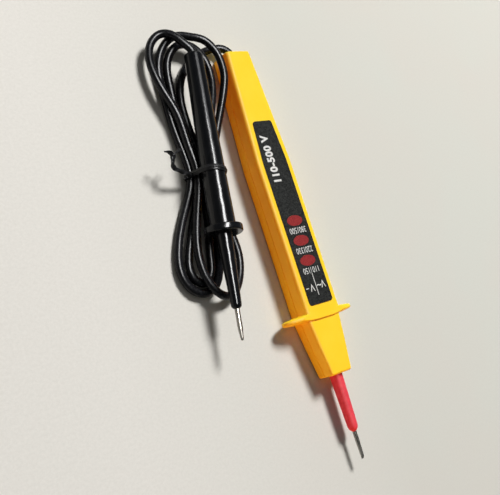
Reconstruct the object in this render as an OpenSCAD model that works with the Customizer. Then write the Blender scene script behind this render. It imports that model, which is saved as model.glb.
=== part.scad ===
// Two-pole circuit tester: a slim case with a fixed probe, three lamp windows, a lead and a hand probe.
// Millimetres. The origin is the middle of the case's underside, and the fixed probe points to -Y.

/* [Case] */
// Length of the case, without the probe
case_len = 140; // [137:0.5:143]
// Height of the case
case_h = 10.8; // [10.7:0.1:11.4]
// Width of the case at its rear end
rear_w = 13.2; // [13:0.1:14.4]
// Width of the case from the waist to the finger guard
body_w = 19.2; // [19:0.1:20.4]
// Width at the front end of the nose
nose_w = 11.6; // [11.2:0.1:12]
// Thickness of the case walls
wall = 1.6; // [1.5:0.05:1.7]
// Height of the joint between the two shells
part_z = 5.2; // [5.1:0.05:5.3]
// Radius along the top edges
top_r = 1.9; // [1.6:0.1:2]
// Radius along the bottom edges
bottom_r = 1.2; // [1:0.1:1.4]

/* [Finger guard] */
// Span of the guard from tip to tip
guard_span = 36.4; // [34:0.2:40]
// Thickness of the guard
guard_t = 3; // [2.4:0.1:3.2]
// Rise of the guard's oval over the top face, where it is cut flush
guard_rise = 1.3; // [1:0.1:1.5]

/* [Label and windows] */
// Width of the label's parallel part
label_w = 12.5; // [12.2:0.1:12.8]
// Width of the label at its rear end
label_rear_w = 10; // [9.6:0.1:10.4]
// Length of the label
label_len = 79.2; // [78:0.2:80]
// Thickness of the label film
label_t = 0.25; // [0.15:0.05:0.4]
// Width of a lamp window, across the case
window_w = 8.1; // [7.8:0.1:8.3]
// Length of a lamp window, along the case
window_len = 4.4; // [4.2:0.1:4.6]
// Distance from one lamp window to the next
window_pitch = 8.55; // [8.3:0.05:8.8]

/* [Fixed probe] */
// Diameter of the sleeve where it leaves the nose
sleeve_d = 5.4; // [5:0.05:5.6]
// Diameter of the sleeve near its rounded end
sleeve_tip_d = 4.3; // [4:0.1:4.5]
// Length of the sleeve outside the nose
sleeve_len = 23.6; // [22:0.1:25]
// Diameter of the pin
pin_d = 1.7; // [1.6:0.05:1.8]
// Length of bare pin beyond the sleeve
pin_bare = 11.1; // [10:0.1:14]

/* [Hand probe] */
// Diameter of the handle at its rear end
handle_rear_d = 7.7; // [7.4:0.1:8]
// Diameter of the handle behind its flange
handle_front_d = 10.4; // [10:0.1:10.6]
// Diameter of the flange
flange_d = 15.2; // [14.6:0.1:15.2]
// Thickness of the flange
flange_t = 2.8; // [2.4:0.1:3]
// Diameter of the snout where it leaves the flange
snout_d = 6.3; // [6:0.1:6.5]
// Diameter of the snout near its rounded end
snout_tip_d = 4.1; // [4:0.1:4.3]
// Diameter of the hand probe's pin
hand_pin_d = 1.95; // [1.8:0.05:2]

/* [Lead] */
// Diameter of the lead
cord_d = 3.3; // [3.1:0.05:3.3]
// Width of the tie that holds the folded lead
tie_w = 2.4; // [2:0.1:3]

/* [Circuit] */
// Width of the circuit board
board_w = 13.6; // [13.2:0.1:13.8]
// Length of the circuit board
board_len = 68; // [67:0.5:69]
// Diameter of a neon lamp
lamp_d = 4; // [3.6:0.1:4]
// Length of a neon lamp's glass
lamp_len = 9; // [8.6:0.1:9]
// Diameter of a resistor's body
resistor_d = 2.4; // [2:0.1:2.5]

/* [Hidden] */
$fn = 48;
BALL_FN = 32;
EPS = 0.01;

YELLOW = "#fbd62f";
BLACK = "#1c1c1e";
LABEL_BLACK = "#2c2d2e";
WINDOW_RED = "#963230";
SLEEVE_RED = "#dc3c48";
STEEL = "#b9b9b5";
COPPER = "#c87845";
BOARD_TAN = "#b98a4a";
LAMP_GLASS = "#e8e2d6";
RESISTOR_BLUE = "#7fa6b8";
WIRE_RED = "#b02a2a";

// Stations of the case, from the rear end to the nose
rear_y = case_len / 2;
front_y = -case_len / 2;
waist_y = 20;
guard_y = front_y + 24.7;
cheek_y = front_y + 13;
cheek_w = 15.4;
guard_w = body_w - 0.4;
nose_drop = 1;
nose_step = 0.8;
nose_lift = 0.5;
nose_edge_r = 1;
cheek_edge_r = (top_r + nose_edge_r) / 2;
draft = 0.25;
corner_r = 0.8;
rear_end_r = 0.6;
front_end_r = 0.9;
least_r = 0.3;
// Each station: y, width, top, bottom, end (1 rear, -1 front, 0 between), top edge radius, end radius
REAR_STATIONS = [
    [rear_y, rear_w, case_h, 0, 1, top_r, rear_end_r],
    [waist_y, body_w, case_h, 0, 0, top_r, 0],
    [guard_y + 0.5, guard_w, case_h, 0, 0, top_r, 0]
];
FRONT_STATIONS = [
    [cheek_y, cheek_w, case_h - (nose_step + nose_drop) / 2, nose_lift / 2, 0, cheek_edge_r, 0],
    [front_y, nose_w, case_h - nose_drop, nose_lift, -1, nose_edge_r, front_end_r]
];
STATIONS = concat(REAR_STATIONS, FRONT_STATIONS);
// The nose's top starts a step lower, under the guard
NOSE_STATIONS = concat([[guard_y + 0.5, guard_w, case_h - nose_step, 0, 0, top_r, 0]], FRONT_STATIONS);

// Guard from its rim inwards: how far in along the span, how far in vertically, share of the thickness
GUARD_RIM = [[0, 0, 0.3], [0.4, 0.3, 0.55], [1.6, 0.6, 0.7], [6, 0.9, 1]];

// Joint between the shells
groove_w = 0.3;
groove_depth = 0.2;
lip_h = 1;
lip_inset = 0.85;
lip_gap = 0.05;

// Ribs, bosses and pegs inside the shells
rib_t = 1;
floor_z = 1;
roof_z = case_h - 1.2;
inner_roof = case_h - wall;
rib_half = body_w / 2 - 1.3;
board_bottom = 2.8;
board_t = 1.2;
board_top = board_bottom + board_t;
BOARD_RIBS_Y = [-28, -10, 8.5, 28];
screw_y = 22;
screw_r = 1.1;
boss_r = 2.5;
boss_foot_r = 3.3;
screw_head_r = 2.1;
screw_head_h = 1.5;
screw_recess_r = 2.4;
screw_seat = 2;
screw_end = 8.2;
boss_join = board_top + 0.2;
PEGS = [[-4.2, 52], [4.2, 52], [-4.8, guard_y - 5], [4.8, guard_y - 5]];
peg_boss_r = 1.8;
peg_r = 0.9;
peg_h = 1.8;
peg_gap = 0.05;
CLAMP_RIBS_Y = [66, 61];
clamp_bite = 0.15;

// Fixed probe, its sleeve's collar and the ribs that trap it
pin_z = part_z;
sleeve_inner_y = front_y + 12;
collar_r = 3;
collar_t = 1.5;
collar_y = front_y + 7;
sleeve_end_y = front_y - sleeve_len;
sleeve_round_r = 1.9;
sleeve_round_len = 2.8;
pin_tip_y = sleeve_end_y - pin_bare;
cup_r = 1.3;
cup_len = 6;
cup_bore_r = 0.5;
cup_depth = 4;
// A pin's shank is turned down by this radius where the moulding grips it
shank_cut = 0.2;
nose_rib_t = 1.6;
nose_rib_half = 5.4;
facet_len = 1.8;
pin_taper = 7;
pin_tip_r = 0.65;

// Windows and lamps
window_1_y = -6;
WINDOWS_Y = [for (i = [0:2]) window_1_y - i * window_pitch];
window_gap = 0.05;
lens_flange = 0.75;
lens_flange_t = 0.6;
lamp_z = 6.3;
lamp_lead_r = 0.3;
lamp_lead_x = lamp_len / 2 + 1;
lamp_lead_pitch = 1.8;
wire_end_z = board_bottom - 0.6;
baffle_half = 7.4;
BAFFLES_Y = [for (i = [0:3]) window_1_y + (0.5 - i) * window_pitch];
label_front_y = front_y + 28.8;
label_rear_y = label_front_y + label_len;
label_corner_r = 1.3;
// Each station: y, width, direction in which the corners are drawn in
LABEL_STATIONS = [
    [label_front_y, label_w, 1], [waist_y, label_w, 0], [label_rear_y, label_rear_w, -1]
];

// Resistors and wires on the board
RESISTORS_X = [-4.8, -1.6, 1.6, 4.8];
resistor_len = 7;
resistor_y = 8.5;
resistor_span = 11;
resistor_z = board_top + 1.4;
resistor_lead_r = 0.3;
solder_r = 0.35;
bend_r = 1.2;
pin_wire_r = 0.5;
pin_wire_y = -31;
core_r = 0.6;
core_y = 31;

// Hand probe: its rear end, and its direction in plan
PROBE_REAR = [-23.6, 68.6, 11.1];
probe_turn = -9.4;
flange_t0 = 72.5;
snout_end = 104.5;
snout_round_r = 1.6;
hand_pin_end = 116.3;
hand_pin_taper = 4.6;
hand_pin_tip_r = 0.55;
hand_pin_start = 57;
hand_cup_len = 7;
hand_cup_bore_r = 0.6;
hand_cup_depth = 5;

// Middle line of the lead, from inside the case to inside the hand probe's handle
ROUTE = [
    [0, 46, 5.2], [0, 70, 5.2], [-0.4, 72, 5.1], [-1.5, 73.6, 4.6], [-3.2, 74.7, 3.9], [-5.5, 75.1, 3],
    [-9, 74.8, 2.1], [-13, 73.4, 1.7], [-18.5, 70.4, 1.7], [-24.8, 64.5, 1.7], [-29.2, 55, 1.7],
    [-29.9, 40, 1.7], [-29.8, 22, 2.2], [-32.5, 12.5, 1.8], [-34.8, 2, 1.7], [-37.2, -6.5, 1.7],
    [-38.8, -12.5, 1.7], [-40.4, -17.5, 1.7], [-43.8, -20.8, 1.7], [-47.6, -20, 1.7], [-49.4, -16, 1.7],
    [-48.2, -10, 1.7], [-44, -1.5, 1.7], [-38.6, 8, 1.8], [-33.2, 22, 2.2], [-33.6, 40, 1.7],
    [-33, 57, 1.9], [-32, 67.5, 3], [-29.3, 73, 4.4], [-24.6, 76, 5.3], [-19, 75.2, 5.3],
    [-15, 70.8, 5.3], [-13.5, 64, 5.1], [-15.2, 55, 5], [-21.5, 41, 5], [-27.9, 22, 5.1],
    [-28.4, 16, 4.5], [-28.9, 10.5, 2.4], [-31, 2, 1.7], [-33.2, -6, 1.7], [-35.2, -14, 1.7],
    [-38.2, -20.6, 1.7], [-41.2, -23.7, 1.7], [-45.4, -24.9, 1.7], [-50.4, -22.9, 1.7], [-53.3, -17.2, 1.7],
    [-52.8, -10, 1.7], [-48, 1, 1.7], [-41, 12, 1.9], [-36.6, 22, 2.2], [-37, 40, 1.7], [-36.7, 57, 1.7],
    [-36, 66.5, 2.2], [-33.4, 73.8, 4], [-27.8, 78.9, 5.3], [-22.6, 79.8, 6], [-18.7, 79, 6.4],
    [-15.2, 78, 7], [-12.6, 76.2, 7.7], [-10.9, 73.6, 8.2], [-9.6, 70.6, 8.5], [-8.9, 66, 8.5],
    [-9.3, 60.4, 8.3], [-10.7, 55.4, 7.4], [-13.2, 49, 5.8], [-16.6, 41, 3.4], [-20.6, 33, 2.2],
    [-26.1, 22, 2.2],
    [-25.2, 12, 1.7], [-26, 0, 1.7], [-25.3, -10, 1.7], [-26.6, -18, 1.7], [-31, -25.4, 2.1],
    [-37, -28.4, 3.6], [-42.5, -26, 5.1], [-45.6, -19.5, 5.15], [-45.8, -10, 5.15], [-43, 0, 5.15],
    [-38.4, 11, 5.15], [-34.9, 22, 5.15], [-35.2, 34, 5.15], [-35.6, 46, 5.15], [-38.6, 56.5, 5],
    [-40.2, 64.5, 4.7], [-40.1, 70.2, 4.5], [-38.9, 74.5, 4.6], [-36.7, 77.9, 5.2], [-33.5, 80, 6.4],
    [-30.6, 79.6, 8.1], [-28.2, 77.4, 9.5], [-25.9, 74, 10.5], [-24.2, 71.5, 11], [-23.65, 70.1, 11.1],
    [-23.6, 68.6, 11.1], [-25, 60.1, 11.1], [-28.8, 37.2, 11.1], [-32.6, 14.3, 11.1]
];
CORD_SIDES = 8;
cord_end_t = norm(ROUTE[len(ROUTE) - 1] - PROBE_REAR);

// Tie round the folded lead and the handle, and its twisted ends
tie_t = 0.4;
TIE_AT = [-31.9, 19.3];
tie_turn = -16;
tie_bundle_x = -20;
TIE_TAIL = [
    [-38.6, 20.7, 5.8], [-39.6, 21, 6.1], [-41.5, 21.6, 6.6], [-43.9, 22.5, 7.2], [-45.9, 23.3, 7.8],
    [-47, 24.6, 8.4], [-46.8, 26.3, 9], [-46.4, 28.1, 9.6], [-48, 29.4, 10], [-49.7, 29.9, 9.8]
];
TIE_BRANCH = [[-46.4, 28.1, 9.6], [-45.1, 28.9, 10.1], [-42.9, 30.1, 10.2]];
TIE_STUB = [[-38.5, 20.5, 5.3], [-39.9, 20, 4.8], [-41.4, 19.8, 4.4]];
tie_wire_r = 0.6;

function unit(v) = v / norm(v);

// Point on the line from a to b at the given y
function at_y(a, b, y) = a + (b - a) * (y - a.y) / (b.y - a.y);

// Direction of a path at one of its points
function heading(path, i) =
    let (last = len(path) - 1)
    unit((i < last ? unit(path[i + 1] - path[i]) : [0, 0, 0])
        + (i > 0 ? unit(path[i] - path[i - 1]) : [0, 0, 0]));

// Side direction of every ring of a tube, carried along the path without twisting
function sides_along(path) = [
    for (i = 0, h = heading(path, 0), s = unit(cross(h, [0.3, 0.2, 1])); i < len(path);
        i = i + 1, h = i < len(path) ? heading(path, i) : h, s = unit(s - h * (s * h))) s
];

function ellipse(w, h, steps) = [
    for (i = [0:steps - 1]) [w * cos(i * 360 / steps), h * sin(i * 360 / steps)] / 2
];

// Quarter or half round from angle a0 to a1 about a centre
function arc(c, r, a0, a1, steps) = [
    for (i = [0:steps]) c + r * [cos(a0 + (a1 - a0) * i / steps), sin(a0 + (a1 - a0) * i / steps)]
];

// Closed tube along a path, one ring a point
module tube(path, r, sides) {
    across = sides_along(path);
    rings = [
        for (i = [0:len(path) - 1])
            let (h = heading(path, i), a = across[i], b = cross(h, a))
            for (k = [0:sides - 1])
                path[i] + r * (a * cos(k * 360 / sides) + b * sin(k * 360 / sides))
    ];
    skin = [
        for (i = [0:len(path) - 2], k = [0:sides - 1])
            let (j = (k + 1) % sides, p = i * sides)
            each [[p + k, p + j, p + sides + k], [p + j, p + sides + j, p + sides + k]]
    ];
    start_cap = [for (k = [sides - 1:-1:0]) k];
    end_cap = [for (k = [0:sides - 1]) (len(path) - 1) * sides + k];
    polyhedron(rings, [for (f = concat(skin, [start_cap, end_cap])) [for (k = [len(f) - 1:-1:0]) f[k]]],
        convexity = 10);
}

// Straight rod between two points
module rod(p, q, r) {
    d = q - p;
    translate(p)
        rotate([0, acos(d.z / norm(d)), atan2(d.y, d.x)])
            cylinder(r = r, h = norm(d), $fn = 24);
}

// Component lead: straight along a direction in plan, then a quarter bend down into the board
module bent_lead(from, hole, r) {
    run = [hole.x - from.x, hole.y - from.y];
    turn = atan2(run.y, run.x);
    length = norm(run) - bend_r;
    translate(from)
        rotate([0, 0, turn]) {
            rotate([0, 90, 0])
                cylinder(r = r, h = length, $fn = 24);
            translate([length, 0, -bend_r])
                rotate([90, 0, 0])
                    rotate_extrude(angle = 90, $fn = 48)
                        translate([bend_r, 0])
                            circle(r = r, $fn = 24);
            translate([length + bend_r, 0, wire_end_z - from.z])
                cylinder(r = r, h = from.z - bend_r - wire_end_z, $fn = 24);
        }
}

// Fewer facets on a smaller radius
function facets(r) = r < 0.6 ? 8 : r < 1.1 ? 16 : BALL_FN;

// Upright disc that rounds a long edge of radius r, with its rim turned in by e at an end wall
module edge_disc(r, e, end) {
    for (a = end == 0 ? [90] : [0, 30, 60, 90])
        translate([0, end * e * (cos(a) - 1), 0])
            rotate([90, 0, 0])
                cylinder(r = r - e * (1 - sin(a)), h = EPS, center = true, $fn = facets(r));
}

// Shape of the whole case with rounded edges, drawn in by inset all round
module case_solid(inset = 0, stations = STATIONS) {
    hull()
        for (s = stations, side = [-1, 1]) {
            half = s[1] / 2 - inset;
            end_y = s[0] - s[4] * inset;
            tr = max(s[5] - inset, least_r);
            br = max(bottom_r - inset, least_r);
            cr = max(corner_r - inset, least_r);
            er = max(s[6] - inset, least_r / 2);
            translate([side * (half - draft - tr), end_y, s[2] - inset - tr])
                edge_disc(tr, er, s[4]);
            translate([side * (half - draft - br), end_y, s[3] + inset + br])
                edge_disc(br, er, s[4]);
            translate([side * (half - cr), end_y - s[4] * cr, part_z - EPS])
                cylinder(r = cr, h = 2 * EPS, $fn = facets(cr));
        }
}

// Everything between two heights
module layer(z0, z1) {
    translate([-guard_span, -case_len, z0])
        cube([2 * guard_span, 2 * case_len, z1 - z0]);
}

// Oval finger guard with a rounded rim, cut flush with the case's top and underside
module guard_plate() {
    middle = (case_h + guard_rise) / 2 - 0.3;
    oval_h = 2 * (case_h + guard_rise - middle);
    intersection() {
        translate([0, guard_y, middle])
            rotate([90, 0, 0])
                hull()
                    for (rim = GUARD_RIM)
                        linear_extrude(guard_t * rim[2], center = true)
                            polygon(ellipse(guard_span - 2 * rim[0], oval_h - 2 * rim[1], 64));
        layer(0, case_h);
    }
}

// Outer skin of the case with the fine groove at the joint, and the guard
module case_skin() {
    difference() {
        union() {
            case_solid(0, REAR_STATIONS);
            case_solid(0, NOSE_STATIONS);
        }
        difference() {
            layer(part_z - groove_w / 2, part_z + groove_w / 2);
            case_solid(groove_depth);
        }
    }
    guard_plate();
}

// Ring between two insets of the case, for the lip and its rebate
module lip_ring(outer, inner) {
    difference() {
        case_solid(outer);
        case_solid(inner);
    }
}

// Round passage along Y at the height of the probe and the lead
module passage(r, y0, y1) {
    translate([0, y1, pin_z])
        rotate([90, 0, 0])
            cylinder(r = r, h = y1 - y0);
}

module cross_rib(y, t, half, z0, z1) {
    translate([-half, y - t / 2, z0])
        cube([2 * half, t, z1 - z0]);
}

// Ribs that hold the sleeve's collar and clamp the lead, the same in both shells
module holding_ribs(z0, z1) {
    difference() {
        for (side = [-1, 1])
            cross_rib(collar_y + side * (collar_t + nose_rib_t) / 2, nose_rib_t, nose_rib_half, z0, z1);
        passage(sleeve_d / 2, front_y, sleeve_inner_y);
    }
    difference() {
        for (y = CLAMP_RIBS_Y)
            cross_rib(y, rib_t, rear_w / 2 - 0.8, z0, z1);
        passage(cord_d / 2 - clamp_bite, screw_y, rear_y);
    }
}

// Openings in the end walls for the sleeve and the lead
module end_openings() {
    passage(sleeve_d / 2, front_y - wall, front_y + 2 * wall);
    passage(cord_d / 2, rear_y - 2 * wall, rear_y + wall);
}

module window_oval(grow, z0, z1) {
    translate([0, 0, z0])
        linear_extrude(z1 - z0)
            polygon(ellipse(window_w + 2 * grow, window_len + 2 * grow, 48));
}

module upper_shell() {
    color(YELLOW) {
        difference() {
            intersection() {
                case_skin();
                layer(part_z, 2 * case_h);
            }
            case_solid(wall);
            end_openings();
            for (y = WINDOWS_Y)
                translate([0, y, 0])
                    window_oval(window_gap, part_z, case_h + 1);
        }
        // Lip that reaches down inside the lower shell
        difference() {
            intersection() {
                lip_ring(lip_inset, wall);
                layer(part_z - lip_h, part_z + 0.5);
            }
            end_openings();
        }
        holding_ribs(part_z, roof_z - 1);
        // Baffles between the lamps, which also hold the board down
        for (y = BAFFLES_Y) {
            cross_rib(y, rib_t, rib_half, part_z, roof_z);
            cross_rib(y, rib_t, baffle_half, board_top, part_z + EPS);
        }
        difference() {
            translate([0, screw_y, boss_join])
                cylinder(r = boss_r, h = roof_z - boss_join);
            translate([0, screw_y, 0])
                cylinder(r = screw_r, h = screw_end);
        }
        for (p = PEGS)
            translate([p.x, p.y, part_z])
                difference() {
                    cylinder(r = peg_boss_r, h = roof_z - part_z - 0.4);
                    translate([0, 0, -1])
                        cylinder(r = peg_r + peg_gap, h = 1 + peg_h + 0.2);
                }
    }
}

module lower_shell() {
    color(YELLOW)
        difference() {
            union() {
                difference() {
                    intersection() {
                        case_skin();
                        layer(-1, part_z);
                    }
                    case_solid(wall);
                }
                holding_ribs(floor_z + 0.3, part_z);
                // Ribs that carry the board
                for (y = BOARD_RIBS_Y)
                    cross_rib(y, rib_t, board_w / 2 + 0.4, floor_z, board_bottom);
                translate([0, screw_y, floor_z])
                    cylinder(r = boss_foot_r, h = board_bottom - floor_z);
                translate([0, screw_y, floor_z])
                    cylinder(r = boss_r, h = boss_join - floor_z);
                for (p = PEGS)
                    translate([p.x, p.y, floor_z]) {
                        cylinder(r = peg_boss_r, h = part_z - floor_z);
                        cylinder(r = peg_r, h = part_z - floor_z + peg_h);
                    }
            }
            // Rebate for the upper shell's lip
            intersection() {
                lip_ring(lip_inset - lip_gap, wall + lip_gap);
                layer(part_z - lip_h - 0.1, part_z + 1);
            }
            end_openings();
            translate([0, screw_y, -1])
                cylinder(r = screw_recess_r, h = screw_seat + 1);
            translate([0, screw_y, 0])
                cylinder(r = screw_r + 0.2, h = case_h);
        }
}

// Film on the top face, with an oval cut-out over each window
module label() {
    color(LABEL_BLACK)
        translate([0, 0, case_h])
            difference() {
                linear_extrude(label_t)
                    hull()
                        for (s = LABEL_STATIONS, side = [-1, 1])
                            translate([side * (s[1] / 2 - label_corner_r), s[0] + s[2] * label_corner_r])
                                circle(r = label_corner_r, $fn = BALL_FN);
                for (y = WINDOWS_Y)
                    translate([0, y, 0])
                        window_oval(window_gap, -1, 1);
            }
}

// Red lens: an oval pad flush with the film, and a flange under the roof
module window_lens(i) {
    color(WINDOW_RED)
        translate([0, WINDOWS_Y[i], 0]) {
            window_oval(0, inner_roof - lens_flange_t, case_h + label_t);
            window_oval(lens_flange, inner_roof - lens_flange_t, inner_roof);
        }
}

// Turned probe pin: a slanted tip facet, a plain shank and a solder cup at the inner end
module probe_pin() {
    color(STEEL)
        difference() {
            union() {
                passage(pin_d / 2, pin_tip_y + pin_taper, sleeve_end_y);
                translate([0, pin_tip_y, pin_z])
                    rotate([-90, 0, 0])
                        cylinder(r1 = pin_tip_r, r2 = pin_d / 2, h = pin_taper);
                passage(pin_d / 2 - shank_cut, sleeve_end_y - EPS, sleeve_inner_y);
                passage(cup_r, sleeve_inner_y, sleeve_inner_y + cup_len);
            }
            passage(cup_bore_r, sleeve_inner_y + cup_len - cup_depth, sleeve_inner_y + cup_len + 1);
            translate([0, pin_tip_y, pin_z - pin_tip_r / 2])
                rotate([atan2(pin_tip_r * 1.5, facet_len), 0, 0])
                    translate([-pin_d, -pin_d, 0])
                        cube([2 * pin_d, 3 * pin_d, pin_d]);
        }
}

// Moulded sleeve: tapered outside the nose, rounded at the end, with a collar inside
module pin_sleeve() {
    out = -front_y;
    end = -sleeve_end_y;
    tip_r = sleeve_tip_d / 2;
    color(SLEEVE_RED)
        translate([0, 0, pin_z])
            rotate([90, 0, 0])
                rotate_extrude()
                    polygon(concat(
                        [[pin_d / 2 - shank_cut, -sleeve_inner_y], [sleeve_d / 2, -sleeve_inner_y],
                            [sleeve_d / 2, -collar_y - collar_t / 2], [collar_r, -collar_y - collar_t / 2],
                            [collar_r, -collar_y + collar_t / 2], [sleeve_d / 2, -collar_y + collar_t / 2],
                            [sleeve_d / 2, out]],
                        [for (p = arc([0, 0], 1, 0, 76, 8))
                            [tip_r - sleeve_round_r * (1 - p.x), end - sleeve_round_len * (1 - p.y)]],
                        [[pin_d / 2 - shank_cut, end]]));
}

// Short insulated wire from the pin's solder cup to the front of the board
module pin_wire() {
    color(WIRE_RED)
        bent_lead([0, sleeve_inner_y + cup_len - cup_depth, pin_z], [0, pin_wire_y], pin_wire_r);
}

module board_holes() {
    for (y = WINDOWS_Y, side = [-1, 1])
        translate([lamp_lead_x + bend_r, y + side * lamp_lead_pitch / 2, 0])
            cylinder(r = lamp_lead_r, h = case_h, $fn = 24);
    for (x = RESISTORS_X, side = [-1, 1])
        translate([x, resistor_y + side * resistor_span / 2, 0])
            cylinder(r = resistor_lead_r, h = case_h, $fn = 24);
    translate([0, pin_wire_y, 0])
        cylinder(r = pin_wire_r, h = case_h, $fn = 24);
    translate([0, core_y, 0])
        cylinder(r = core_r, h = case_h, $fn = 24);
    translate([0, screw_y, 0])
        cylinder(r = boss_r + 0.1, h = case_h);
}

module circuit_board() {
    color(BOARD_TAN)
        difference() {
            translate([-board_w / 2, -board_len / 2, board_bottom])
                cube([board_w, board_len, board_t]);
            board_holes();
        }
}

// Neon lamp lying across the case, with a sealed pip and two leads at one end
module neon_lamp(i) {
    r = lamp_d / 2;
    half = lamp_len / 2;
    color(LAMP_GLASS)
        translate([0, WINDOWS_Y[i], lamp_z]) {
            rotate([0, -90, 0])
                rotate_extrude()
                    polygon(concat(
                        [[0, -half], [r * 0.7, -half], [r, -half + 1]],
                        arc([0, half - r], r, 0, 75, 8),
                        [[0.35, half + 0.2], [0, half + 0.3]]));
            for (side = [-1, 1])
                bent_lead_at([half - 0.5, side * lamp_lead_pitch / 2], lamp_lead_x + bend_r - half + 0.5);
        }
}

// Lamp lead in the lamp's own frame, running towards +X and down into the board
module bent_lead_at(start, reach) {
    translate([0, 0, -lamp_z])
        bent_lead([start.x, start.y, lamp_z], [start.x + reach, start.y], lamp_lead_r);
}

// Axial resistor with bulged ends, its leads bent down into the board
module resistor(i) {
    x = RESISTORS_X[i];
    half = resistor_len / 2;
    r = resistor_d / 2;
    color(RESISTOR_BLUE) {
        translate([x, resistor_y, resistor_z])
            rotate([90, 0, 0])
                rotate_extrude()
                    polygon([[0, -half], [r * 0.7, -half], [r, -half + 0.5], [r, -half + 1.4],
                        [r * 0.88, -half + 1.9], [r * 0.88, half - 1.9], [r, half - 1.4],
                        [r, half - 0.5], [r * 0.7, half], [0, half]]);
        for (side = [-1, 1])
            bent_lead([x, resistor_y + side * (half - 0.3), resistor_z],
                [x, resistor_y + side * resistor_span / 2], resistor_lead_r);
    }
}

// Stripped end of the lead, soldered into the rear of the board
module lead_core() {
    color(COPPER)
        bent_lead(ROUTE[0], [0, core_y], core_r);
}

// The lead, folded back and forth under the hand probe
module cord() {
    color(BLACK)
        tube(ROUTE, cord_d / 2, CORD_SIDES);
}

// The hand probe's own axis runs along Z here, from its rear end
module in_probe() {
    translate(PROBE_REAR)
        rotate([90, 0, probe_turn])
            children();
}

// One moulding: tapered handle, flange and snout, bored through for the lead and the pin
module hand_probe_handle() {
    rear_r = handle_rear_d / 2;
    front_r = handle_front_d / 2;
    flange_r = flange_d / 2;
    tip_r = snout_tip_d / 2;
    flange_end = flange_t0 + flange_t;
    step = hand_pin_start + hand_cup_len;
    color(BLACK)
        in_probe()
            rotate_extrude()
                polygon(concat(
                    [[cord_d / 2, 0]],
                    arc([rear_r - 0.8, 0.8], 0.8, -90, 0, 6),
                    [[front_r, flange_t0]],
                    arc([flange_r - 0.6, flange_t0 + 0.6], 0.6, -90, 0, 5),
                    arc([flange_r - 0.6, flange_end - 0.6], 0.6, 0, 90, 5),
                    [[snout_d / 2, flange_end]],
                    arc([tip_r - snout_round_r, snout_end - snout_round_r], snout_round_r, 0, 72, 6),
                    [[hand_pin_d / 2 - shank_cut, snout_end], [hand_pin_d / 2 - shank_cut, step],
                        [cord_d / 2, step]]));
}

// Pressed-in pin with a tapered blunt tip and a solder cup
module hand_probe_pin() {
    r = hand_pin_d / 2;
    cup_end = hand_pin_start + hand_cup_len;
    color(STEEL)
        in_probe()
            rotate_extrude()
                polygon([[hand_cup_bore_r, hand_pin_start], [cord_d / 2, hand_pin_start],
                    [cord_d / 2, cup_end], [r - shank_cut, cup_end],
                    [r - shank_cut, snout_end], [r, snout_end], [r, hand_pin_end - hand_pin_taper],
                    [hand_pin_tip_r, hand_pin_end - 0.3], [hand_pin_tip_r - 0.2, hand_pin_end],
                    [0, hand_pin_end], [0, hand_pin_start + hand_cup_depth],
                    [hand_cup_bore_r, hand_pin_start + hand_cup_depth]]);
}

// Stripped end of the lead in the hand probe's solder cup
module hand_probe_core() {
    color(COPPER)
        in_probe()
            translate([0, 0, cord_end_t])
                cylinder(r = hand_cup_bore_r, h = hand_pin_start + hand_cup_depth - cord_end_t);
}

// Circles that the tie goes round: every strand of the folded lead, and the handle
module tie_outline(grow) {
    hull() {
        for (i = [0:len(ROUTE) - 3])
            if ((ROUTE[i].y - TIE_AT.y) * (ROUTE[i + 1].y - TIE_AT.y) < 0 && ROUTE[i].x < tie_bundle_x) {
                p = at_y(ROUTE[i], ROUTE[i + 1], TIE_AT.y);
                translate([p.x, p.z])
                    circle(r = cord_d / 2 + grow, $fn = BALL_FN);
            }
        reach = PROBE_REAR.y - TIE_AT.y;
        along = reach / cos(probe_turn) / flange_t0;
        translate([PROBE_REAR.x + reach * tan(probe_turn), PROBE_REAR.z])
            circle(r = (handle_rear_d + (handle_front_d - handle_rear_d) * along) / 2 + grow,
                $fn = BALL_FN);
    }
}

// Plastic-covered wire tie: a band round the bundle and its twisted ends
module cord_tie() {
    color(BLACK) {
        translate([TIE_AT.x, TIE_AT.y, 0])
            rotate([90, 0, tie_turn])
                linear_extrude(tie_w, center = true)
                    translate([-TIE_AT.x, 0])
                        difference() {
                            tie_outline(tie_t);
                            tie_outline(0);
                        }
        tube(TIE_TAIL, tie_wire_r, 6);
        tube(TIE_BRANCH, tie_wire_r, 6);
        tube(TIE_STUB, tie_wire_r, 6);
    }
}

// Self-tapping screw from the underside, with a pan head and a cross recess
module case_screw() {
    head_z = screw_seat - screw_head_h;
    color(STEEL)
        translate([0, screw_y, 0])
            difference() {
                union() {
                    translate([0, 0, head_z])
                        cylinder(r1 = screw_head_r - 0.5, r2 = screw_head_r, h = 0.5);
                    translate([0, 0, head_z + 0.5])
                        cylinder(r = screw_head_r, h = screw_head_h - 0.5);
                    translate([0, 0, screw_seat])
                        cylinder(r = screw_r, h = screw_end - screw_seat - 1);
                    translate([0, 0, screw_end - 1])
                        cylinder(r1 = screw_r, r2 = 0.4, h = 1);
                }
                for (turn = [0, 90])
                    rotate([0, 0, turn])
                        translate([-1.2, -0.25, head_z - 1])
                            cube([2.4, 0.5, 1.8]);
            }
}

upper_shell();
lower_shell();
label();
window_lens(0);  // window_lens_1
window_lens(1);  // window_lens_2
window_lens(2);  // window_lens_3
probe_pin();
pin_sleeve();
pin_wire();
circuit_board();
neon_lamp(0);  // neon_lamp_1
neon_lamp(1);  // neon_lamp_2
neon_lamp(2);  // neon_lamp_3
resistor(0);  // resistor_1
resistor(1);  // resistor_2
resistor(2);  // resistor_3
resistor(3);  // resistor_4
cord();
lead_core();
hand_probe_handle();
hand_probe_pin();
hand_probe_core();
cord_tie();
case_screw();
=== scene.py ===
"""Two-pole circuit tester: its looks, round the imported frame. Lengths are in millimetres unless noted."""

import math

import bpy
import numpy as np
from mathutils import Matrix, Quaternion, Vector


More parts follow.
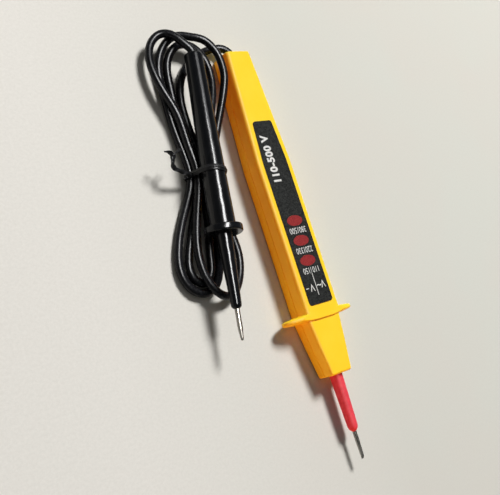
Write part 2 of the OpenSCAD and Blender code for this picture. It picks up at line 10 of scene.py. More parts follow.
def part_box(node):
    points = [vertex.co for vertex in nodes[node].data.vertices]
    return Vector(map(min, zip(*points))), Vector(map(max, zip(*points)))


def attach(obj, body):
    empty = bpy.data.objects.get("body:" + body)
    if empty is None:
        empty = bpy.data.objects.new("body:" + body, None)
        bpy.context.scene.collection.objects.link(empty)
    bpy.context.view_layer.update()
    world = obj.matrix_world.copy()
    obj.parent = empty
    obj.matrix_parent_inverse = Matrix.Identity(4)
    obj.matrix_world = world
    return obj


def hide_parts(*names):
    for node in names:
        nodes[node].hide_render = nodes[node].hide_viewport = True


MM = 0.001

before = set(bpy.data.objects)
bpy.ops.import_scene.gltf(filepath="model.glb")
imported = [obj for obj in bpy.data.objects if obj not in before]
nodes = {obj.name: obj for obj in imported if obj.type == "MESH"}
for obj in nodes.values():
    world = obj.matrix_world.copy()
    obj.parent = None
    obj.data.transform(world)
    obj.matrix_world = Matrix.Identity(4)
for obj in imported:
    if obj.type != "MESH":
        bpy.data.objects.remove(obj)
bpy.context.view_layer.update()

# Objects and meshes

# Points worked out on each stretch of a spline before they are spread evenly
SPLINE_POINTS = 40
# Any direction that no path here starts along
SWEEP_UP = (0.3, 0.2, 1)


def unit(vector):
    return vector / np.linalg.norm(vector)


def new_object(name, data):
    obj = bpy.data.objects.new(name, data)
    bpy.context.scene.collection.objects.link(obj)
    return obj


def loft(parts):
    """Points and faces of skins through rings of equal length.

    Each part is its rings, and whether the last one joins the first.
    """
    points, faces = [], []
    for rings, closed in parts:
        start, count, sides = len(points), len(rings), len(rings[0])
        points += [point for ring in rings for point in ring]
        last = count if closed else count - 1
        for i in range(last):
            a, b = start + i * sides, start + (i + 1) % count * sides
            faces += [(a + k, a + (k + 1) % sides, b + (k + 1) % sides, b + k) for k in range(sides)]
        if not closed:
            faces.append(tuple(range(start + sides - 1, start - 1, -1)))
            faces.append(tuple(start + (count - 1) * sides + k for k in range(sides)))
    return points, faces


def mesh_object(name, points, faces, sharp=60):
    """Object from points in millimetres, shaded smooth but for edges that turn by more than sharp degrees."""
    mesh = bpy.data.meshes.new(name)
    mesh.from_pydata([tuple(float(value) * MM for value in point) for point in points], [], faces)
    mesh.validate()
    mesh.shade_smooth()
    mesh.set_sharp_from_angle(angle=math.radians(sharp))
    return new_object(name, mesh)


def even(points, step):
    """The same line with its points about step apart."""
    run = np.concatenate([[0], np.cumsum(np.linalg.norm(np.diff(points, axis=0), axis=1))])
    at = np.linspace(0, run[-1], max(2, int(round(run[-1] / step)) + 1))
    return np.column_stack([np.interp(at, run, column) for column in points.T])


def spline(knots, step):
    """Points about step apart along a natural cubic spline through the knots."""
    knots = np.array(knots, float)
    count = len(knots)
    spans = np.sqrt(np.linalg.norm(np.diff(knots, axis=0), axis=1))
    system, pull = np.eye(count), np.zeros((count, 3))
    for i in range(1, count - 1):
        before, after = spans[i - 1], spans[i]
        system[i, i - 1:i + 2] = before, 2 * (before + after), after
        pull[i] = 6 * ((knots[i + 1] - knots[i]) / after - (knots[i] - knots[i - 1]) / before)
    bends = np.linalg.solve(system, pull)
    dense = []
    for i, span in enumerate(spans):
        for done in np.linspace(0, span, SPLINE_POINTS, endpoint=False):
            left = span - done
            dense.append((bends[i] * left ** 3 + bends[i + 1] * done ** 3) / (6 * span)
                         + (knots[i] / span - bends[i] * span / 6) * left
                         + (knots[i + 1] / span - bends[i + 1] * span / 6) * done)
    dense.append(knots[-1])
    return even(np.array(dense), step)


def frames_along(path):
    """Side and top at every point of a path, carried along it without twisting."""
    heads = np.gradient(path, axis=0)
    heads /= np.linalg.norm(heads, axis=1)[:, None]
    side = np.cross(heads[0], SWEEP_UP)
    found = []
    for head in heads:
        side = unit(side - head * (side @ head))
        found.append((side, np.cross(side, head)))
    return found


def swept(path, section, turns=None):
    """Rings of a section carried along a path. turns gives each ring its own turn in radians."""
    if turns is None:
        turns = np.zeros(len(path))
    rings = []
    for point, (side, top), turn in zip(path, frames_along(path), turns):
        across = side * math.cos(turn) + top * math.sin(turn)
        out = top * math.cos(turn) - side * math.sin(turn)
        rings.append([point + across * u + out * v for u, v in section])
    return rings


def circle_points(radius, count):
    angles = np.linspace(0, 2 * math.pi, count, endpoint=False)
    return [(radius * math.cos(angle), radius * math.sin(angle)) for angle in angles]


# Camera

CAMERA_AT = Vector((-205.09, -50.30, 245.68))
# Point of the table that the camera looks at, before its shift
CAMERA_AIM = Vector((-18.85, -10.96, 0))
# Degrees that the camera is turned about its line of sight, from level
CAMERA_ROLL = 62.69
CAMERA_SENSOR = 36
CAMERA_LENS = 55.441
CAMERA_SHIFT_X = 0.005
# Nearest and furthest that it sees, in metres
CAMERA_REACH = (0.01, 10)


def add_camera():
    data = bpy.data.cameras.new("camera")
    data.sensor_width = CAMERA_SENSOR
    data.lens = CAMERA_LENS
    data.shift_x = CAMERA_SHIFT_X
    data.clip_start, data.clip_end = CAMERA_REACH
    camera = new_object("camera", data)
    level = (CAMERA_AIM - CAMERA_AT).to_track_quat("-Z", "Y")
    roll = Quaternion((0, 0, 1), math.radians(CAMERA_ROLL))
    camera.matrix_world = Matrix.Translation(CAMERA_AT * MM) @ (level @ roll).to_matrix().to_4x4()
    bpy.context.scene.camera = camera


add_camera()

# Lead

LEAD_D = 3.3
LEAD_SIDES = 24
LEAD_STEP = 0.8
# Between the route's points the spline dips a little, and the table stops it at this height
LEAD_LOWEST = LEAD_D / 2 + 0.01
# Middle line of the lead, the same points as in the CAD source. The second is where it leaves the case
ROUTE = [
    [0, 46, 5.2], [0, 70, 5.2], [-0.4, 72, 5.1], [-1.5, 73.6, 4.6], [-3.2, 74.7, 3.9], [-5.5, 75.1, 3],
    [-9, 74.8, 2.1], [-13, 73.4, 1.7], [-18.5, 70.4, 1.7], [-24.8, 64.5, 1.7], [-29.2, 55, 1.7],
    [-29.9, 40, 1.7], [-29.8, 22, 2.2], [-32.5, 12.5, 1.8], [-34.8, 2, 1.7], [-37.2, -6.5, 1.7],
    [-38.8, -12.5, 1.7], [-40.4, -17.5, 1.7], [-43.8, -20.8, 1.7], [-47.6, -20, 1.7], [-49.4, -16, 1.7],
    [-48.2, -10, 1.7], [-44, -1.5, 1.7], [-38.6, 8, 1.8], [-33.2, 22, 2.2], [-33.6, 40, 1.7],
    [-33, 57, 1.9], [-32, 67.5, 3], [-29.3, 73, 4.4], [-24.6, 76, 5.3], [-19, 75.2, 5.3],
    [-15, 70.8, 5.3], [-13.5, 64, 5.1], [-15.2, 55, 5], [-21.5, 41, 5], [-27.9, 22, 5.1],
    [-28.4, 16, 4.5], [-28.9, 10.5, 2.4], [-31, 2, 1.7], [-33.2, -6, 1.7], [-35.2, -14, 1.7],
    [-38.2, -20.6, 1.7], [-41.2, -23.7, 1.7], [-45.4, -24.9, 1.7], [-50.4, -22.9, 1.7],
    [-53.3, -17.2, 1.7], [-52.8, -10, 1.7], [-48, 1, 1.7], [-41, 12, 1.9], [-36.6, 22, 2.2],
    [-37, 40, 1.7], [-36.7, 57, 1.7], [-36, 66.5, 2.2], [-33.4, 73.8, 4], [-27.8, 78.9, 5.3],
    [-22.6, 79.8, 6], [-18.7, 79, 6.4], [-15.2, 78, 7], [-12.6, 76.2, 7.7], [-10.9, 73.6, 8.2],
    [-9.6, 70.6, 8.5], [-8.9, 66, 8.5], [-9.3, 60.4, 8.3], [-10.7, 55.4, 7.4], [-13.2, 49, 5.8],
    [-16.6, 41, 3.4], [-20.6, 33, 2.2], [-26.1, 22, 2.2], [-25.2, 12, 1.7], [-26, 0, 1.7],
    [-25.3, -10, 1.7], [-26.6, -18, 1.7], [-31, -25.4, 2.1], [-37, -28.4, 3.6], [-42.5, -26, 5.1],
    [-45.6, -19.5, 5.15], [-45.8, -10, 5.15], [-43, 0, 5.15], [-38.4, 11, 5.15], [-34.9, 22, 5.15],
    [-35.2, 34, 5.15], [-35.6, 46, 5.15], [-38.6, 56.5, 5], [-40.2, 64.5, 4.7], [-40.1, 70.2, 4.5],
    [-38.9, 74.5, 4.6], [-36.7, 77.9, 5.2], [-33.5, 80, 6.4], [-30.6, 79.6, 8.1], [-28.2, 77.4, 9.5],
    [-25.9, 74, 10.5], [-24.2, 71.5, 11], [-23.65, 70.1, 11.1], [-23.6, 68.6, 11.1], [-25, 60.1, 11.1],
    [-28.8, 37.2, 11.1], [-32.6, 14.3, 11.1]
]


def add_lead():
    path = spline(ROUTE, LEAD_STEP)
    path[:, 2] = np.maximum(path[:, 2], LEAD_LOWEST)
    rings = swept(path, circle_points(LEAD_D / 2, LEAD_SIDES))
    lead = mesh_object("lead", *loft([(rings, False)]))
    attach(lead, "root")
    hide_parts("cord")
    return lead, path


lead, lead_path = add_lead()

# Tie

# Upright plane of the tie: a point of it in plan, and its turn from the X axis
TIE_AT = (-31.9, 19.3)
TIE_TURN = math.radians(-16)
# The ribbon and the ridge over its wire
TIE_W = 2.3
TIE_T = 0.4
TIE_RIDGE = 0.35
TIE_STEP = 0.5
# Its rounded edges: how far in they start, and the shares of the thickness where they end
EDGE_INSET = 0.12
EDGE_LOW = 0.3
EDGE_HIGH = 0.75
# The ridge: its foot and shoulder from the middle, and the shoulder's share of its height
RIDGE_FOOT = 0.45
RIDGE_SHOULDER = 0.28
SHOULDER_SHARE = 0.75
# Heights of the ribbon's inner and outer side where the lead presses it flat on the table
FLAT_INNER = 0.1
FLAT_OUTER = 0.02
# A strand of the hank is left of this X and below this height. Above it the lead is inside the handle
STRANDS_X = -20
STRANDS_Z = 8
# Middle of the handle's rear end, its turn in plan, and the radii and length of its taper
HANDLE_REAR = (-23.6, 68.6, 11.1)
HANDLE_TURN = math.radians(-9.4)
HANDLE_REAR_R = 3.85
HANDLE_FRONT_R = 5.2
HANDLE_LEN = 72.5
# Points round each strand and round the handle that the band is drawn over
BAND_POINTS = 72
# The tails are thinner than the band. Their line runs this far above their inner side
TAIL_T = 0.35
TAIL_RIDGE = 0.28
TAIL_DEPTH = 0.3
TAIL_STEP = 0.3
# Two tails are twisted together up to where they part. Their turn at the start is in radians
TAIL_W = 1.7
TAIL_START = 0.4
TAIL_TURNS = 1.6
TAIL_APART = 0.42
TAIL_LINE = [(-38.6, 20.7, 5.8), (-39.6, 21, 6.1), (-41.5, 21.6, 6.6), (-43.9, 22.5, 7.2),
             (-45.9, 23.3, 7.8), (-47, 24.6, 8.4), (-46.8, 26.3, 9), (-46.4, 28.1, 9.6)]
# Loose ends, as their line, the turn at its start in radians, whole turns along it, and width
LOOSE_ENDS = [
    ([(-46.4, 28.1, 9.6), (-48, 29.4, 10), (-49.7, 29.9, 9.8)], 0.6, 0.3, 1.8),
    ([(-46.4, 28.1, 9.6), (-45.1, 28.9, 10.1), (-42.9, 30.1, 10.2)], 2.0, -0.25, 1.7),
    ([(-38.5, 20.5, 5.3), (-39.9, 20, 4.8), (-41.4, 19.8, 4.4)], 0.3, 0.2, 1.7),
]


def tie_section(width, thick, ridge):
    """Ribbon with rounded edges and a ridge in its middle, as (across, out) from its inner side."""
    half, inset = width / 2, width / 2 - EDGE_INSET
    low, high, shoulder = thick * EDGE_LOW, thick * EDGE_HIGH, thick + ridge * SHOULDER_SHARE
    outer = [(-inset, thick), (-RIDGE_FOOT, thick), (-RIDGE_SHOULDER, shoulder), (0, thick + ridge),
             (RIDGE_SHOULDER, shoulder), (RIDGE_FOOT, thick), (inset, thick)]
    return [(-half, low), (-half, high), *outer, (half, high), (half, low), (inset, 0), (0, 0), (-inset, 0)]


def turns_left(a, b, c):
    return (b[0] - a[0]) * (c[1] - a[1]) - (b[1] - a[1]) * (c[0] - a[0]) > 0


def hull_of(points):
    """Convex outline of flat points, anticlockwise."""
    found = []
    ordered = sorted(points)
    for run in (ordered, ordered[::-1]):
        line = []
        for point in run:
            while len(line) > 1 and not turns_left(line[-2], line[-1], point):
                line.pop()
            line.append(point)
        found += line[:-1]
    return np.array(found)


def band_line():
    """Line round the handle and every strand, where they pass the tie's Y, as points (x, z)."""
    circles = []
    for a, b in zip(lead_path[:-1], lead_path[1:]):
        passes = (a[1] - TIE_AT[1]) * (b[1] - TIE_AT[1]) < 0
        if passes and a[0] < STRANDS_X and min(a[2], b[2]) < STRANDS_Z:
            middle = a + (b - a) * (TIE_AT[1] - a[1]) / (b[1] - a[1])
            circles.append((middle[0], middle[2], LEAD_D / 2))
    reach = HANDLE_REAR[1] - TIE_AT[1]
    radius = HANDLE_REAR_R + (HANDLE_FRONT_R - HANDLE_REAR_R) * reach / math.cos(HANDLE_TURN) / HANDLE_LEN
    circles.append((HANDLE_REAR[0] + reach * math.tan(HANDLE_TURN), HANDLE_REAR[2], radius))
    line = hull_of([(x + u, z + v) for x, z, r in circles for u, v in circle_points(r, BAND_POINTS)])
    return even(np.vstack([line, line[:1]]), TIE_STEP)[:-1]


def tie_band():
    """Rings of the closed band, laid into the tie's turned plane."""
    line = band_line()
    along = np.roll(line, -1, axis=0) - np.roll(line, 1, axis=0)
    rings = []
    for (x, z), (dx, dz) in zip(line, along):
        out = unit(np.array([dz, -dx]))
        ring = []
        for across, off in tie_section(TIE_W, TIE_T, TIE_RIDGE):
            lowest = FLAT_INNER + (FLAT_OUTER - FLAT_INNER) * off / (TIE_T + TIE_RIDGE)
            run = x + out[0] * off - TIE_AT[0]
            ring.append((TIE_AT[0] + run * math.cos(TIE_TURN) + across * math.sin(TIE_TURN),
                         TIE_AT[1] + run * math.sin(TIE_TURN) - across * math.cos(TIE_TURN),
                         max(z + out[1] * off, lowest)))
        rings.append(ring[::-1])
    return rings, True


def ribbon(points, start_turn, turns, width, apart=0.0):
    """Rings of an open ribbon that twists by turns along a line and keeps apart from it."""
    path = spline(points, TAIL_STEP)
    angles = start_turn + 2 * math.pi * turns * np.linspace(0, 1, len(path))
    path = np.array([point + (top * math.cos(angle) - side * math.sin(angle)) * apart
                     for point, (side, top), angle in zip(path, frames_along(path), angles)])
    section = [(across, out - TAIL_DEPTH) for across, out in tie_section(width, TAIL_T, TAIL_RIDGE)]
    return swept(path, section, angles), False


def add_tie():
    parts = [tie_band()]
    for half_turn in (0, math.pi):
        parts.append(ribbon(TAIL_LINE, TAIL_START + half_turn, TAIL_TURNS, TAIL_W, TAIL_APART))
    parts += [ribbon(*end) for end in LOOSE_ENDS]
    tie = mesh_object("tie", *loft(parts), sharp=50)
    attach(tie, "root")
    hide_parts("cord_tie")
    return tie


tie = add_tie()

# Node trees

# Sockets of a Mix node that mixes colours
MIX_SHARE, MIX_A, MIX_B, MIX_RESULT = 0, 6, 7, 2
# Most of the noise lies between these values
NOISE_LOW = 0.35
NOISE_HIGH = 0.65


class NodeTree:
    """A node tree, with short calls for what the materials and the world both need."""

    def __init__(self, tree):
        self.tree = tree

    def add(self, kind, **props):
        node = self.tree.nodes.new(kind)
        for key, value in props.items():
            setattr(node, key, value)
        return node

    def link(self, source, target):
        self.tree.links.new(source, target)

    def ranged(self, value, low, high, start=NOISE_LOW, end=NOISE_HIGH, curve="LINEAR"):
        """A number that goes from low to high while the value goes from start to end."""
        node = self.add("ShaderNodeMapRange", interpolation_type=curve)
        for key, number in (("From Min", start), ("From Max", end), ("To Min", low), ("To Max", high)):
            node.inputs[key].default_value = number
        self.link(value, node.inputs["Value"])
        return node.outputs["Result"]

    def mixed(self, share, a, b):
        """Colour a where the share is 0, and b where it is 1."""
        node = self.add("ShaderNodeMix", data_type="RGBA")
        self.link(share, node.inputs[MIX_SHARE])
        for value, index in ((a, MIX_A), (b, MIX_B)):
            if isinstance(value, tuple):
                node.inputs[index].default_value = value
            else:
                self.link(value, node.inputs[index])
        return node.outputs[MIX_RESULT]


class Surface(NodeTree):
    """A material whose textures are laid in object coordinates, in millimetres.

    The keywords set sockets of its shader, with _ for a space.
    """

    def __init__(self, name, **sockets):
        self.material = bpy.data.materials.new(name)
        self.material.use_nodes = True
        super().__init__(self.material.node_tree)
        self.shader = self.tree.nodes["Principled BSDF"]
        for key, value in sockets.items():
            self.shader.inputs[key.replace("_", " ")].default_value = value
        place = self.add("ShaderNodeTexCoord")
        self.at = self.add("ShaderNodeMapping")
        self.at.inputs["Scale"].default_value = (1 / MM,) * 3
        self.link(place.outputs["Object"], self.at.inputs["Vector"])

    def noise(self, scale, detail=3, roughness=0.55, stretch=(1, 1, 1)):
        """Noise with scale features a millimetre, stretched along each axis by its factor."""
        place = self.add("ShaderNodeMapping")
        place.inputs["Scale"].default_value = [1 / factor for factor in stretch]
        self.link(self.at.outputs["Vector"], place.inputs["Vector"])
        node = self.add("ShaderNodeTexNoise")
        node.inputs["Scale"].default_value = scale
        node.inputs["Detail"].default_value = detail
        node.inputs["Roughness"].default_value = roughness
        self.link(place.outputs["Vector"], node.inputs["Vector"])
        return node.outputs["Fac"]

    def bump(self, height, depth, strength=1.0, below=None):
        """Bump of the given depth in millimetres, over another bump if there is one."""
        node = self.add("ShaderNodeBump")
        node.inputs["Distance"].default_value = depth * MM
        node.inputs["Strength"].default_value = strength
        self.link(height, node.inputs["Height"])
        if below is not None:
            self.link(below, node.inputs["Normal"])
        return node.outputs["Normal"]

    def colour(self, value):
        self.link(value, self.shader.inputs["Base Color"])

    def tint(self, field, first, second, start=NOISE_LOW, end=NOISE_HIGH):
        """Colours the surface from first to second while the field goes from start to end."""
        self.colour(self.mixed(self.ranged(field, 0, 1, start, end), first, second))

    def rough(self, field, low, high):
        """Roughness from low to high over most of the field."""
        self.link(self.ranged(field, low, high), self.shader.inputs["Roughness"])

    def normal(self, value):
        self.link(value, self.shader.inputs["Normal"])


# Materials


def rgb(red, green, blue):
    """A colour written as 0 to 255 values, as the linear colour that Blender takes."""
    def linear(value):
        value /= 255
        return value / 12.92 if value <= 0.04045 else ((value + 0.055) / 1.055) ** 2.4
    return linear(red), linear(green), linear(blue), 1.0


def case_plastic():
    look = Surface("case_plastic_visual", IOR=1.5, Specular_IOR_Level=0.2)
    cloud = look.ranged(look.noise(0.12, 2), 0, 1)
    fleck = look.ranged(look.noise(1.8, 4), 0, 1)
    base = look.mixed(cloud, rgb(250, 213, 36), rgb(250, 217, 46))
    look.colour(look.mixed(look.ranged(fleck, 0, 0.25, start=0, end=1), base, rgb(248, 209, 36)))
    look.rough(look.noise(0.6, 3), 0.44, 0.52)
    grain = look.bump(look.noise(7, 3), depth=0.006)
    look.normal(look.bump(look.noise(0.35, 2), depth=0.05, strength=0.6, below=grain))
    return look.material


def label_film():
    look = Surface("label_film_visual", IOR=1.48, Specular_IOR_Level=0.13)
    grain = look.noise(1.5, 4, 0.7)
    look.tint(grain, rgb(8, 9, 8), rgb(52, 53, 51), start=0.36, end=0.66)
    look.rough(grain, 0.45, 0.6)
    look.normal(look.bump(grain, depth=0.03))
    return look.material


def window_red():
    look = Surface("window_red_visual", IOR=1.49, Specular_IOR_Level=0.16)
    grain = look.noise(2.2, 5, 0.75)
    look.tint(grain, rgb(128, 30, 34), rgb(168, 50, 48), start=0.38, end=0.66)
    look.rough(grain, 0.45, 0.58)
    look.normal(look.bump(grain, depth=0.02))
    return look.material


def sleeve_red():
    look = Surface("sleeve_red_visual", IOR=1.48, Specular_IOR_Level=0.25)
    look.tint(look.noise(0.5, 3), rgb(214, 62, 76), rgb(226, 74, 86))
    look.rough(look.noise(1.5, 3), 0.4, 0.52)
    grain = look.bump(look.noise(5, 3), depth=0.012)
    waves = look.noise(0.8, 2, stretch=(1, 3, 1))
    look.normal(look.bump(waves, depth=0.06, strength=0.5, below=grain))
    return look.material


def turned_steel(name, dark, light):
    """Metal with fine lines across the Y axis, which the pins lie along, and smears along it."""
    look = Surface(name, Metallic=1.0, Anisotropic=0.4)
    lines = look.noise(9, 3, 0.6, stretch=(1, 0.12, 1))
    smear = look.noise(0.9, 3, stretch=(1, 8, 1))
    look.tint(smear, dark, light)
    look.rough(smear, 0.24, 0.34)
    look.normal(look.bump(lines, depth=0.001))
    return look.material


def lead_pvc():
    look = Surface("lead_pvc_visual", IOR=1.5, Specular_IOR_Level=0.2)
    look.tint(look.noise(0.3, 3), rgb(16, 16, 18), rgb(23, 23, 26))
    look.rough(look.noise(1.2, 4), 0.22, 0.34)
    grain = look.bump(look.noise(6, 4), depth=0.01)
    look.normal(look.bump(look.noise(0.6, 2), depth=0.05, strength=0.5, below=grain))
    return look.material


def handle_plastic():
    look = Surface("handle_plastic_visual", IOR=1.5, Specular_IOR_Level=0.25)
    look.tint(look.noise(0.2, 3), rgb(11, 12, 14), rgb(17, 18, 21))
    look.rough(look.noise(0.9, 4), 0.14, 0.2)
    look.normal(look.bump(look.noise(0.25, 2), depth=0.03, strength=0.5))
    return look.material


def tie_plastic():
    look = Surface("tie_plastic_visual", IOR=1.5, Specular_IOR_Level=0.25)
    look.tint(look.noise(0.8, 3), rgb(20, 20, 21), rgb(34, 34, 36))
    look.rough(look.noise(1.4, 4), 0.25, 0.45)
    look.normal(look.bump(look.noise(1.6, 4), depth=0.08, strength=0.8))
    return look.material


def copper():
    look = Surface("copper_visual", Metallic=1.0)
    strands = look.noise(3, 2, 0.5, stretch=(1, 6, 1))
    look.tint(strands, rgb(166, 92, 58), rgb(214, 138, 96))
    look.rough(strands, 0.25, 0.45)
    look.normal(look.bump(strands, depth=0.05))
    return look.material


def board():
    look = Surface("board_visual", IOR=1.5, Specular_IOR_Level=0.3)
    weave = look.noise(1.6, 4, 0.7, stretch=(1, 3, 1))
    look.tint(weave, rgb(168, 122, 62), rgb(196, 152, 88))
    look.rough(weave, 0.5, 0.7)
    look.normal(look.bump(weave, depth=0.03))
    return look.material


def lamp_glass():
    look = Surface("lamp_glass_visual", IOR=1.5, Transmission_Weight=0.7)
    haze = look.noise(0.8, 3)
    look.tint(haze, rgb(236, 226, 208), rgb(246, 240, 230))
    look.rough(haze, 0.04, 0.12)
    look.normal(look.bump(look.noise(0.6, 2), depth=0.05, strength=0.4))
    return look.material


def resistor_body():
    look = Surface("resistor_body_visual", IOR=1.5, Coat_Weight=0.3)
    cloud = look.noise(1.1, 3)
    look.tint(cloud, rgb(116, 158, 178), rgb(136, 176, 192))
    look.rough(cloud, 0.3, 0.5)
    look.normal(look.bump(look.noise(2.5, 3), depth=0.03))
    return look.material


def wire_insulation():
    look = Surface("wire_insulation_visual", IOR=1.48)
    cloud = look.noise(1.1, 3)
    look.tint(cloud, rgb(160, 34, 36), rgb(184, 48, 46))
    look.rough(cloud, 0.35, 0.5)
    look.normal(look.bump(look.noise(4, 3), depth=0.01))
    return look.material


def print_ink():
    look = Surface("print_ink_visual", IOR=1.48, Specular_IOR_Level=0.3)
    grain = look.noise(2.6, 5, 0.75)
    look.tint(grain, rgb(196, 193, 188), rgb(242, 240, 236), start=0.36, end=0.6)
    look.rough(grain, 0.5, 0.65)
    look.normal(look.bump(grain, depth=0.01))
    return look.material


def table_top():
    """Pale matt surface with painted light: its colour grows a little lighter towards -X."""
    look = Surface("table_top_visual", IOR=1.4, Specular_IOR_Level=0.15)
    broad = look.ranged(look.noise(0.012, 3), 0, 1)
    fine = look.noise(0.9, 5, 0.7)
    axes = look.add("ShaderNodeSeparateXYZ")
    look.link(look.at.outputs["Vector"], axes.inputs["Vector"])
    # Painted light: a share that rises towards -X and mixes in the lighter colour there
    left = look.ranged(axes.outputs["X"], 0, 1, start=30, end=-90)
    base = look.mixed(broad, rgb(219, 214, 204), rgb(217, 216, 206))
    base = look.mixed(left, base, rgb(236, 231, 223))
    look.colour(look.mixed(look.ranged(fine, 0, 0.3), base, rgb(212, 207, 198)))
    look.rough(fine, 0.7, 0.85)
    look.normal(look.bump(fine, depth=0.03))
    return look.material


# One material for each slot of the record
FINISHES = {
    "case_plastic": case_plastic(),
    "label_film": label_film(),
    "window_red": window_red(),
    "pin_steel": turned_steel("pin_steel_visual", rgb(120, 114, 104), rgb(176, 172, 164)),
    "sleeve_red": sleeve_red(),
    "wire_insulation": wire_insulation(),
    "board": board(),
    "lamp_glass": lamp_glass(),
    "resistor_body": resistor_body(),
    "lead_pvc": lead_pvc(),
    "copper": copper(),
    "handle_plastic": handle_plastic(),
    "tie_plastic": tie_plastic(),
    "screw_steel": turned_steel("screw_steel_visual", rgb(150, 150, 150), rgb(196, 196, 194)),
}

lead.data.materials.append(FINISHES["lead_pvc"])
tie.data.materials.append(FINISHES["tie_plastic"])

# Finish of the CAD pieces

# Edges that turn by up to these degrees are shaded smooth: the default holds for all nodes not named
SMOOTH_ANGLE = {"upper_shell": 42, "lower_shell": 42, "hand_probe_handle": 35, "pin_sleeve": 35}
SMOOTH_DEFAULT = 32
# Points closer than this are joined for shading, in metres
WELD_DISTANCE = 1e-6


def smoothing_group(angle):
    """Geometry nodes that shade smooth across edges no sharper than the angle."""
    name = f"smooth_{angle}"
    group = bpy.data.node_groups.get(name)
    if group:
        return group
    group = bpy.data.node_groups.new(name, "GeometryNodeTree")
    group.interface.new_socket("Geometry", in_out="INPUT", socket_type="NodeSocketGeometry")
    group.interface.new_socket("Geometry", in_out="OUTPUT", socket_type="NodeSocketGeometry")
    source = group.nodes.new("NodeGroupInput")
    faces = group.nodes.new("GeometryNodeSetShadeSmooth")
    edges = group.nodes.new("GeometryNodeSetShadeSmooth")
    bend = group.nodes.new("GeometryNodeInputMeshEdgeAngle")
    flat = group.nodes.new("FunctionNodeCompare")
    target = group.nodes.new("NodeGroupOutput")
    faces.domain = "FACE"
    edges.domain = "EDGE"
    flat.operation = "LESS_EQUAL"
    flat.inputs[1].default_value = math.radians(angle)
    for output, socket in ((source.outputs[0], faces.inputs["Geometry"]),
                           (faces.outputs[0], edges.inputs["Geometry"]),
                           (bend.outputs["Unsigned Angle"], flat.inputs[0]),
                           (flat.outputs[0], edges.inputs["Shade Smooth"]),
                           (edges.outputs[0], target.inputs[0])):
        group.links.new(output, socket)
    return group


def dress_nodes():
    """Finishes and smooth shading for the CAD nodes that show."""
    for name, obj in nodes.items():
        if obj.hide_render:
            continue
        for slot in obj.material_slots:
            # A copy of a slot's material has a number after its name
            slot.material = FINISHES[slot.material.name.split(".")[0]]
        weld = obj.modifiers.new("weld", "WELD")
        weld.merge_threshold = WELD_DISTANCE
        smooth = obj.modifiers.new("smooth", "NODES")
        smooth.node_group = smoothing_group(SMOOTH_ANGLE.get(name, SMOOTH_DEFAULT))
        weighted = obj.modifiers.new("weighted", "WEIGHTED_NORMAL")
        weighted.keep_sharp = True


dress_nodes()

# Print on the label

# How finely the letters' curves are divided
LETTER_DIVISIONS = 4
# Half their thickness as they are made. Their two faces then go to the ink's bottom and top
LETTER_EXTRUDE = 0.5
# Thickness of the ink, and how deep it sits in the film
INK_T = 0.03
INK_SINK = 0.01
INK_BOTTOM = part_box("label")[1].z / MM - INK_SINK
INK_TOP = INK_BOTTOM + INK_T
# Directions of reading in plan
READ_ROWS = (-1, 0)
READ_HEADING = (0, 1)
# Each row has a value on either side of a bar that leans a little
ROWS = (("380", "500"), ("220", "330"), ("110", "150"))
ROW_Y = -10.2
ROW_PITCH = 8.55
GROUP_X = 2.5
DIGIT_H = 2.5
DIGIT_SQUEEZE = 0.72
BAR_LEAN = 0.1
BAR_REACH = 1.3
BAR_W = 0.24
# Signs for alternating and direct voltage, as text, middle, height, squeeze and boldness
SIGNS = (
    ("V", (3.75, -33.7), 3.1, 0.85, 0),
    ("~", (1.6, -33.9), 0.75, 1, 0.01),
    ("V", (-2.3, -34.3), 3.1, 0.85, 0),
)
# Line between them and line of the direct voltage sign, as two ends and a width
SIGN_LINES = (
    ((-0.1, -27.6), (-0.1, -37.8), 0.3),
    ((-5.6, -34.3), (-4.2, -34.3), 0.4),
)
HEADING = "110-500 V"
HEADING_AT = (-1.9, 21.5)
HEADING_H = 4.0
HEADING_SQUEEZE = 0.92
HEADING_SPACING = 1.08
HEADING_BOLD = 0.045


def lettering(text, centre, height, read, squeeze, bold=0, spacing=1):
    """Points and faces of letters that lie in the film and are read along a direction in plan."""
    data = bpy.data.curves.new("letters", "FONT")
    data.body = text
    data.align_x = "CENTER"
    data.space_character = spacing
    data.extrude = LETTER_EXTRUDE
    data.offset = bold
    data.resolution_u = LETTER_DIVISIONS
    obj = new_object("letters", data)
    mesh = bpy.data.meshes.new_from_object(obj.evaluated_get(bpy.context.evaluated_depsgraph_get()))
    points = np.array([vertex.co for vertex in mesh.vertices], float)
    faces = [tuple(polygon.vertices) for polygon in mesh.polygons]
    bpy.data.objects.remove(obj)
    bpy.data.curves.remove(data)
    bpy.data.meshes.remove(mesh)
    low, high = points.min(0), points.max(0)
    scale = height / (high[1] - low[1])
    right, up, _ = ((points - (low + high) / 2) * scale).T
    x = centre[0] + read[0] * right * squeeze - read[1] * up
    y = centre[1] + read[1] * right * squeeze + read[0] * up
    return np.column_stack([x, y, np.where(points[:, 2] > 0, INK_TOP, INK_BOTTOM)]), faces


def bar(start, end, width):
    """Thin printed line between two points."""
    a, b = np.array([*start, 0.0]), np.array([*end, 0.0])
    side = np.cross(unit(b - a), (0, 0, 1)) * width / 2
    corners = [a + side, b + side, b - side, a - side]
    points = [(corner[0], corner[1], z) for z in (INK_BOTTOM, INK_TOP) for corner in corners]
    faces = [(3, 2, 1, 0), (4, 5, 6, 7)] + [(k, (k + 1) % 4, 4 + (k + 1) % 4, 4 + k) for k in range(4)]
    return points, faces


def printed(name, parts, ink):
    """One piece of print, joined from its letters and lines."""
    points, faces = [], []
    for part_points, part_faces in parts:
        faces += [tuple(corner + len(points) for corner in face) for face in part_faces]
        points += list(part_points)
    obj = mesh_object(name, points, faces, sharp=30)
    obj.data.materials.append(ink)
    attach(obj, "root")


